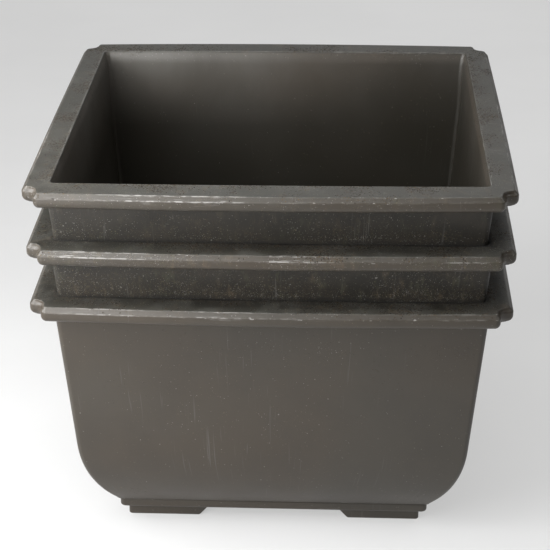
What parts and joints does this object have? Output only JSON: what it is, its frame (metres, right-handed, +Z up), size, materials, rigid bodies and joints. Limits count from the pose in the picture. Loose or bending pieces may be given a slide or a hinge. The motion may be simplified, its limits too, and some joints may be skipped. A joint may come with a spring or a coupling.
{
  "type": "nested plant pots",
  "caption": "Square tapered plastic plant pots with flanged, corner-notched rims and low corner feet, nested in a stack; each lifts out upwards.",
  "frame": {"origin": "centre of the stack's footprint, in the plane of the lowest pot's feet", "axes": "+Z up out of the pots' mouths, +X to the stack's right and -Y towards its front; the rims are slightly deeper along Y than they are wide along X"},
  "size_m": [0.165, 0.168, 0.141],
  "materials": {
    "pot_plastic": "matte brown-grey moulded polypropylene, lightly scuffed"
  },
  "bodies": {
    "lower_pot": {"lower_pot": "pot_plastic"},
    "middle_pot": {"middle_pot": "pot_plastic"},
    "upper_pot": {"upper_pot": "pot_plastic"}
  },
  "joints": [
    {"name": "middle_pot_lift", "type": "slide", "parent": "lower_pot", "child": "middle_pot", "axis": [0, 0, 1], "range_m": [0, 0.085]},
    {"name": "upper_pot_lift", "type": "slide", "parent": "middle_pot", "child": "upper_pot", "axis": [0, 0, 1], "range_m": [0, 0.085]}
  ]
}
